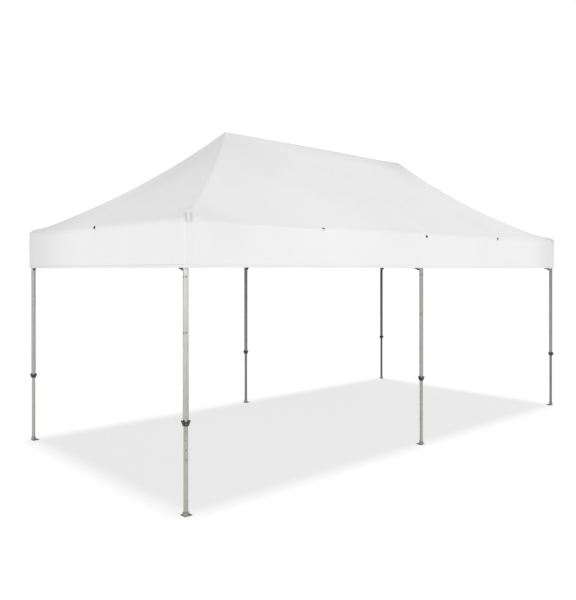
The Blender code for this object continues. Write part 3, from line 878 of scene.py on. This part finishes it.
def build_cover():
    """The cover as one sheet: roof, rounded eaves, corners and hanging border."""
    lines_x, lines_y = cloth_lines()
    rim = Rim(lines_x, lines_y)
    rows = len(lines_y)
    grid_x, grid_y = (values.ravel() for values in np.meshgrid(lines_x, lines_y, indexing="ij"))
    points = [np.column_stack((grid_x + lean(grid_x, grid_y), grid_y, roof_z(grid_x, grid_y)))]
    faces = []
    for i in range(len(lines_x) - 1):
        for j in range(rows - 1):
            a, b = i * rows + j, (i + 1) * rows + j
            x = (lines_x[i] + lines_x[i + 1]) / 2
            y = (lines_y[j] + lines_y[j + 1]) / 2
            faces += split_quad((a, b, b + 1, a + 1), x, y)
    bands = [rim.edge(pi / 2 * (1 - step / EDGE_STEPS)) for step in range(EDGE_STEPS + 1)]
    bands += [rim.border(row / VALANCE_ROWS) for row in range(1, VALANCE_ROWS + 1)]
    above = rim.index
    start = len(grid_x)
    for band in bands:
        here = range(start, start + rim.count)
        for k in range(rim.count):
            m = (k + 1) % rim.count
            faces.append(tuple(dict.fromkeys((here[k], here[m], above[m], above[k]))))
        points.append(band)
        above = here
        start += rim.count
    mesh = mesh_of("canopy_cover", np.concatenate(points), faces)
    weld(mesh)
    crisp = crisp_edges(mesh)
    unwrap_cover(mesh)
    relief_on(mesh)
    cover = placed("canopy_cover", mesh, CLOTH, "root", 180)
    sharp = mesh.attributes.get("sharp_edge") or mesh.attributes.new("sharp_edge", "BOOLEAN", "EDGE")
    sharp.data.foreach_set("value", crisp)
    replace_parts(cover, *[f"roof_panel_{side}" for side in ("front", "back", "left", "right")])
    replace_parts(cover, "canopy_valance")
    return cover, rim


def weld(mesh):
    """Joins the points of a mesh that coincide."""
    form = bmesh.new()
    form.from_mesh(mesh)
    bmesh.ops.remove_doubles(form, verts=form.verts, dist=1e-5)
    form.to_mesh(mesh)
    form.free()


def relief_on(mesh):
    """Pushes the cloth in and out along its normals by the small folds."""
    points = values_of(mesh.vertices, "co", 3)
    normals = values_of(mesh.vertices, "normal", 3)
    folds, shade = corner_relief(points)
    moved = points + normals * (folds + tension_relief(points))[:, None]
    mesh.vertices.foreach_set("co", moved.ravel().astype(np.float32))
    mesh.update()
    # The greyness stored here is painted shade from the spots, the roof and the pleats, and painted light
    # where it is below zero
    store_greyness(mesh, greyness(points) + shade)


def unwrap_cover(mesh):
    """Cloth coordinates in metres, panel by panel, so that threads run along the eaves."""
    layer = mesh.uv_layers.new(name="cloth")
    corners = values_of(mesh.loops, "vertex_index", 1, np.int32)[:, 0]
    x, y, z = values_of(mesh.vertices, "co", 3)[corners].T
    counts = values_of(mesh.polygons, "loop_total", 1, np.int32)[:, 0]
    facing = np.repeat(np.abs(values_of(mesh.polygons, "normal", 3)), counts, axis=0)
    along = np.where(facing[:, 0] > facing[:, 1], y, x)
    up = np.where(facing[:, 2] < 0.5, z - EAVE_Z, np.minimum(*from_edges(x, y)) * SLOPE_STRETCH)
    layer.data.foreach_set("uv", np.column_stack((along, up)).ravel().astype(np.float32))


def crisp_edges(mesh):
    """Which edges lie on the crisp seams: the ridge and the upper hips."""
    points = values_of(mesh.vertices, "co", 3)
    x, y = unleaned(points[:, 0], points[:, 1]), points[:, 1]
    ridge = (np.abs(y) < 1e-4) & (np.abs(x) < MAST_X + 1e-4)
    from_end, from_side = from_edges(x, y)
    hip = (np.abs(from_end - from_side) < 1e-3) & (np.abs(y) < CRISP_HIP * HALF_WIDTH)
    ends = values_of(mesh.edges, "vertices", 2, np.int32)
    return ridge[ends].all(1) | hip[ends].all(1)


def strip(name, rows, finish, uv_across, closed=False):
    """Narrow cloth piece from rows of points across it, with coordinates in metres."""
    rows = [np.asarray(row, float) for row in rows]
    wide = len(rows[0])
    middle = np.array([row[wide // 2] for row in rows])
    run = np.concatenate(([0.0], np.cumsum(np.linalg.norm(np.diff(middle, axis=0), axis=1))))
    uv = [(along, across) for along in run for across in uv_across]
    faces = []
    for level in range(len(rows) - (0 if closed else 1)):
        low, high = level * wide, (level + 1) % len(rows) * wide
        faces += [(low + i, low + i + 1, high + i + 1, high + i) for i in range(wide - 1)]
    return piece(name, (np.concatenate(rows), faces), finish, uv=uv, smooth=60)


def roof_tape(name, start, end):
    """Seam tape over the roof between two plan points."""
    start, end = np.array(start, float), np.array(end, float)
    long = np.linalg.norm(end - start)
    along = (end - start) / long
    across = np.array((-along[1], along[0]))
    offsets = np.array((-1.0, -0.95, -0.5, 0.0, 0.5, 0.95, 1.0)) * TAPE_HALF
    lifts = np.array([-BURIED] + [PROUD] * 5 + [-BURIED])
    rows = []
    count = round(long / TAPE_STEP)
    for step in range(count + 1):
        x, y = (start + (end - start) * step / count + across * offsets[:, None]).T
        height = roof_z(x, y) + (lifts if 0 < step < count else -BURIED)
        rows.append(np.column_stack((x + lean(x, y), y, height))[::-1])
    return strip(name, rows, TAPE, offsets[::-1])


def build_tapes():
    """Seam tapes along the four hips and the ridge."""
    tapes = []
    for sign_x, half in HALVES:
        for sign_y, row in ROWS:
            low = (sign_x * (HALF_LENGTH - TAPE_CLEAR), sign_y * (HALF_WIDTH - TAPE_CLEAR))
            high = (sign_x * (MAST_X + TAPE_END), sign_y * TAPE_END)
            tapes.append(roof_tape(f"hip_tape_{row}_{half}", low, high))
    tapes.append(roof_tape("ridge_tape", (-MAST_X, 0), (MAST_X, 0)))
    return tapes


def build_hem(rim):
    """Bound hem round the border's lower edge, folded to the inside."""
    drop = EAVE_Z - EDGE_RADIUS - HEM_Z
    bands = [rim.border(1 - up / drop, proud) for up, proud in HEM_SECTION]
    rows = [[band[k] for band in bands] for k in range(rim.count)]
    return strip("hem_band", rows, HEM, [up for up, _ in HEM_SECTION], closed=True)


def build_corner_strips(rim):
    """Reinforcing strips down the border's corners, wider on the ends than on the long sides."""
    shares = np.linspace(STRIP_START, STRIP_END, STRIP_ROWS)
    flush, raised = ([rim.border(share, proud) for share in shares] for proud in (-BURIED, PROUD))
    across = [share * (EAVE_Z - HEM_Z) for share in shares]
    made = []
    for title, signs in LEGS.items():
        if signs[0] == 0:
            continue
        from_corner = np.abs(rim.base - np.multiply(signs, (HALF_LENGTH, HALF_WIDTH)))
        here = np.where((from_corner < (STRIP_ON_LONG, STRIP_ON_END)).all(1))[0]
        # The walk round the cover starts and ends within one of the strips
        if here.max() - here.min() > len(here):
            here = np.roll(here, -np.argmax(np.diff(here)) - 1)
        rows = []
        for k in here:
            bands = flush if k in (here[0], here[-1]) else raised
            rows.append([flush[0][k]] + [band[k] for band in bands[1:]])
        made.append(strip(f"corner_strip_{title}", rows, PATCH, across))
    return made


def rim_spot(x, y, turn, drop):
    """A point of the rounded eave beside a plan point, and the way the cloth faces there."""
    on_long = abs(y) > abs(x) - MAST_X
    out = Vector((0, copysign(1, y), 0)) if on_long else Vector((copysign(1, x), 0, 0))
    inset = EDGE_RADIUS * (1 - cos(turn))
    plan = Vector((x, y, 0)) - out * inset
    height = float(roof_z(np.array(plan.x), np.array(plan.y))) - EDGE_RADIUS * (1 - sin(turn)) - drop
    return plan + UP * height, out * cos(turn) + UP * sin(turn)


def build_eyelets():
    """Eyelets on the eaves, each with a pale washer and a dark button in it."""
    spots = [(x, sign * HALF_WIDTH, turn, drop) for x, turn, drop in EYELETS_LONG for sign in (-1, 1)]
    off, turn, drop = EYELET_END
    spots += [(sign * HALF_LENGTH, sign * off, turn, drop) for sign in (-1, 1)]
    for number, (x, y, turn, drop) in enumerate(spots, start=1):
        spot = rim_spot(x, y, radians(turn), drop)
        piece(f"eyelet_ring_{number}", turned(WASHER_RING, *spot, 32), WASHER)
        piece(f"eyelet_button_{number}", turned(EYELET_CAP, *spot, 32), EYELET_METAL)


def face_out(face, signs):
    """The way a leg's face looks, mirrored so that drilled faces look outwards."""
    angle = radians(60 * face)
    return Vector(((signs[0] or -1) * cos(angle), signs[1] * sin(angle), 0))


def on_face(at, face, signs, outward, height):
    """A point out from a leg's middle towards a face, and the way the face looks."""
    out = face_out(face, signs)
    return at + out * outward + UP * height, out


def leg_tube(which, title, at, signs, sizes, holes, finish, body):
    """Mesh of one of a leg's tubes with its holes, which stands in for its solid."""
    across_flats, wall = sizes
    slim, bore, bore_corner = across_flats - 2 * TUBE_ROUNDED, across_flats - 2 * wall, TUBE_CORNER - wall
    solid = f"{which}_leg_{title}"
    low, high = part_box(solid)
    outline = (
        (slim, low.z, TUBE_CORNER),
        (across_flats, low.z + TUBE_ROUNDED, TUBE_CORNER, GROOVE_DEEP),
        (across_flats, high.z - TUBE_ROUNDED, TUBE_CORNER, GROOVE_DEEP),
        (slim, high.z, TUBE_CORNER),
        (bore, high.z, bore_corner),
        (bore, low.z, bore_corner),
    )
    cutters = []
    for height, face in holes:
        spot = on_face(at, face, signs, across_flats / 2, height)
        cutters.append(turned(((PIN_HOLE, -0.005), (PIN_HOLE, 0.005)), *spot, 20))
    tube = drilled(f"{which}_tube_{title}", hex_sleeve(outline, at), cutters, finish, body)
    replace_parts(tube, solid)
    return tube.data


def build_collar(title, at, signs):
    """Moulded cup with a scooped rim, grip ribs and a lock button in a boss."""
    low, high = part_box(f"leg_collar_{title}")
    bottom, top = low.z, high.z - RIM_LOW
    tall = top - bottom
    rings = []
    for across_flats, share, rise, corner in COLLAR:
        plan = split_steps(hexagon(across_flats, corner), 3)
        height = bottom + tall * share + rise
        rings.append([scooped(at, point, height, bottom, top, signs) for point in plan])
    forms = [lofted(rings, looped=True)]
    for face in range(6):
        if face not in SCOOPED_FACES:
            forms += grip_ribs(at, face_out(face, signs), bottom + tall * 0.8, top - 0.0065)
    cup = piece(f"collar_cup_{title}", joined(forms), PLASTIC)
    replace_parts(cup, f"leg_collar_{title}")
    spot = on_face(at, 1, signs, BOSS_OUT, bottom + tall * BOSS_SHARE)
    piece(f"collar_boss_{title}", turned(LOCK_BOSS, *spot, 28), PLASTIC)
    piece(f"collar_button_{title}", turned(LOCK_BUTTON, *spot, 28), BUTTON)


def split_steps(ring, count):
    """A ring of plan points, each side split into equal steps."""
    points = []
    for here, there in zip(ring, ring[1:] + ring[:1]):
        points += [here.lerp(there, step / count) for step in range(count)]
    return points


def scooped(at, plan, height, bottom, top, signs):
    """A point of a collar, its rim lowered at the middle of every second face."""
    dip = 0.0
    for face in SCOOPED_FACES:
        out = face_out(face, signs)
        lateral = abs(plan.x * out.y - plan.y * out.x)
        if plan.x * out.x + plan.y * out.y > 0:
            share = min(max((lateral - SCOOP_FLAT) / (SCOOP_HALF - SCOOP_FLAT), 0.0), 1.0)
            dip = max(dip, 1 - eased(share))
    start = bottom + (top - bottom) * SCOOP_FROM
    share = max(0.0, (height - start) / (top - start))
    return (at.x + plan.x, at.y + plan.y, height - SCOOP_DEEP * dip * share)


def grip_ribs(at, out, low, high):
    """Three short upright ribs on one face of a collar's rim."""
    along = Vector((-out.y, out.x, 0))
    section = ((-0.0011, 0.0), (-0.0006, 0.0012), (0.0006, 0.0012), (0.0011, 0.0))
    ribs = []
    for offset in (-RIB_APART, 0.0, RIB_APART):
        foot = at + out * RIB_OUT + along * offset
        rings = [[foot + along * a + out * o + UP * height for a, o in section] for height in (low, high)]
        ribs.append(lofted(rings))
    return ribs


def build_leg(title, signs):
    """A leg's drilled tubes, collar, foot and small fittings."""
    low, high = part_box(f"outer_leg_{title}")
    at = Vector(((low.x + high.x) / 2, (low.y + high.y) / 2, 0))
    body = f"{title}_foot"
    # Painted shade on the tubes, graded from head to collar, and painted light where it is below zero
    at_head, at_collar, below = LEG_PAINTED_SHADE[title]
    outer = leg_tube("outer", title, at, signs, (OUTER_AF, OUTER_WALL), OUTER_HOLES, OUTER_METAL, "root")
    up = (values_of(outer.vertices, "co", 3)[:, 2] - low.z) / (high.z - low.z)
    store_greyness(outer, at_collar + (at_head - at_collar) * up)
    inner = leg_tube("inner", title, at, signs, (INNER_AF, INNER_WALL), INNER_HOLES, INNER_METAL, body)
    store_greyness(inner, below)
    build_collar(title, at, signs)
    softened(f"foot_plate_{title}", 0.001, ZINC, body)
    piece(f"foot_weld_{title}", hex_sleeve(FOOT_WELD, at), WELD, body)
    sleeve = piece(f"foot_sleeve_{title}", hex_sleeve(FOOT_SLEEVE, at), INNER_METAL, body)
    store_greyness(sleeve.data, SLEEVE_GREYNESS)
    softened(f"head_bracket_{title}", 0.0012, PLASTIC)
    softened(f"slider_bracket_{title}", 0.0012, PLASTIC)
    rivets = []
    for height, face in OUTER_HOLES:
        if height > RIVETED_ABOVE:
            spot = on_face(at, face, signs, OUTER_AF / 2 - GROOVE_DEEP, height)
            rivets.append(turned(RIVET_HEAD, *spot, 24))
    piece(f"leg_rivets_{title}", joined(rivets), ZINC)
    piece(f"tie_band_{title}", hex_sleeve(TIE_BAND, at), WEBBING)


def middle_of(name):
    low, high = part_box(name)
    return (low + high) / 2


def truss_runs():
    """Plan ends of each truss, how many times its bars cross and which way its joints face."""
    leg = middle_of("outer_leg_front_right")
    leg_x, leg_y, post_x = leg.x, -leg.y, middle_of("mast_right").x
    runs = {"ridge_truss": ((PIVOT_OUT - post_x, 0), (post_x - PIVOT_OUT, 0), 2, 0)}
    for sign_x, half in HALVES:
        reach = leg_y - PIVOT_OUT
        runs[f"end_truss_{half}"] = ((sign_x * leg_x, -reach), (sign_x * leg_x, reach), 2, 0)
        for sign_y, row in ROWS:
            near = (sign_x * PIVOT_OUT, sign_y * leg_y)
            far = (sign_x * (leg_x - PIVOT_OUT), sign_y * leg_y)
            runs[f"{row}_truss_{half}"] = (near, far, 2, -sign_y)
            joint = (sign_x * post_x, sign_y * (leg_y - JUNCTION_OUT))
            runs[f"cross_truss_{half}_{row}"] = (joint, (sign_x * post_x, sign_y * PIVOT_OUT), 1, 0)
    return runs


def truss_rivets(name, start, end, crossings, joint_side):
    """Heads where a truss's bars cross and on the ears at its ends."""
    start, end = Vector((*start, 0)), Vector((*end, 0))
    run = end - start
    across = Vector((-run.y, run.x, 0)).normalized()
    high, low = UP * HIGH_PIVOT_Z, UP * LOW_PIVOT_Z
    faces = [across * side for side in (-1, 1)]
    heads = []
    for step in range(crossings):
        crossing = start + run * (step + 0.5) / crossings + (high + low) / 2
        heads += [(crossing + face * 2 * BAR_OFFSET, face) for face in faces]
    for step in range(1, crossings):
        stop = start + run * step / crossings
        for face in faces:
            if face.y * joint_side <= 0:
                heads += [(stop + level + face * 2 * BAR_OFFSET, face) for level in (low, high)]
    for stop, offset in ((start, BAR_OFFSET), (end, -BAR_OFFSET)):
        for level, lateral in ((high, offset), (low, -offset)):
            heads += [(stop + level + across * lateral + face * EAR_FACE, face) for face in faces]
    forms = [turned(BOLT_HEAD, *head, 16) for head in heads]
    piece(f"{name}_rivets", joined(forms), BRIGHT)


def build_frame():
    """Trusses, masts and their caps, with rounded edges, rivets and bolts."""
    for name, run in truss_runs().items():
        truss_rivets(name, *run)
    for name in sorted(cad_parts):
        if "_truss" in name:
            softened(name, 0.0016, BAR_METAL)
        elif name.startswith("mast_cap"):
            softened(name, 0.0015, PLASTIC)
        elif name.startswith("mast_"):
            softened(name, 0.002, BAR_METAL)


def build_stage():
    """Plain white floor."""
    corners = [(x * FLOOR_REACH, y * FLOOR_REACH, 0) for x, y in ((-1, -1), (1, -1), (1, 1), (-1, 1))]
    floor = linked("floor", mesh_of("floor", corners, [(0, 1, 2, 3)]))
    floor.location.z = -0.0015
    made, _, shader = blank("floor_white", 0.9)
    feed(shader, {"Base Color": grey(FLOOR_ALBEDO), "Specular IOR Level": 0.0})
    feed(shader, {"Emission Color": (1.006, 0.996, 1.0, 1), "Emission Strength": FLOOR_GLOW})
    floor.data.materials.append(made)
    return floor


def build_world():
    """White studio, bright low down and dimmer overhead, with brighter and darker patches."""
    world = bpy.data.worlds.new("studio")
    bpy.context.scene.world = world
    world.use_nodes = True
    tree = world.node_tree
    way = node(tree, "TexCoord")
    height = node(tree, "SeparateXYZ", {"Vector": way}, 2)
    level = spread(height, 0.4, 0.9, SKY_LOW, SKY_HIGH)
    for direction, outer, inner, gain in SKY_PATCHES:
        centre = Vector(direction).normalized()
        aim = node(tree, "VectorMath", {0: way, 1: centre}, 1, operation="DOT_PRODUCT")
        patch = spread(aim, cos(radians(outer)), cos(radians(inner)))
        level = calc("ADD", level, calc("MULTIPLY", patch, gain))
    blue = calc("MULTIPLY", level, 1.003)
    colour = node(tree, "CombineColor", {0: level, 1: level, 2: blue})
    colour = mixed(node(tree, "LightPath"), colour, grey(SKY_LOW))
    feed(tree.nodes["Background"], {"Color": colour})


def sunlight(name, tilt, turn, power, angle):
    light = bpy.data.lights.new(name, "SUN")
    light.energy = power
    light.angle = radians(angle)
    lamp = linked(name, light)
    lamp.rotation_euler = (radians(tilt), 0, radians(turn))
    return lamp


def build_lights(floor):
    """Soft light from above, weak light from the front, and one that only shades the floor."""
    sunlight("overhead", 24.0, 60.0, OVERHEAD, 40.0)
    sunlight("front_key", 50.0, 38.0, FRONT_KEY, 50.0)
    shade = sunlight("floor_shade", 0.0, 0.0, FLOOR_SHADE, 10.0)
    only_floor = bpy.data.collections.new("only_floor")
    only_floor.objects.link(floor)
    shade.light_linking.receiver_collection = only_floor


def build_camera():
    camera = bpy.data.cameras.new("camera")
    camera.lens = CAMERA_LENS
    camera.sensor_width = 36.0
    camera.shift_x, camera.shift_y = CAMERA_SHIFT
    camera.clip_end = 500.0
    eye = linked("camera", camera)
    eye.location = CAMERA_AT
    eye.rotation_euler = (pi / 2, 0, radians(CAMERA_TURN))
    bpy.context.scene.camera = eye
    bpy.context.scene.view_settings.view_transform = "Standard"


build_camera()
build_world()
build_lights(build_stage())
cover, rim = build_cover()
trim = build_tapes()
trim.append(build_hem(rim))
trim += build_corner_strips(rim)
build_eyelets()
for title, signs in LEGS.items():
    build_leg(title, signs)
build_frame()
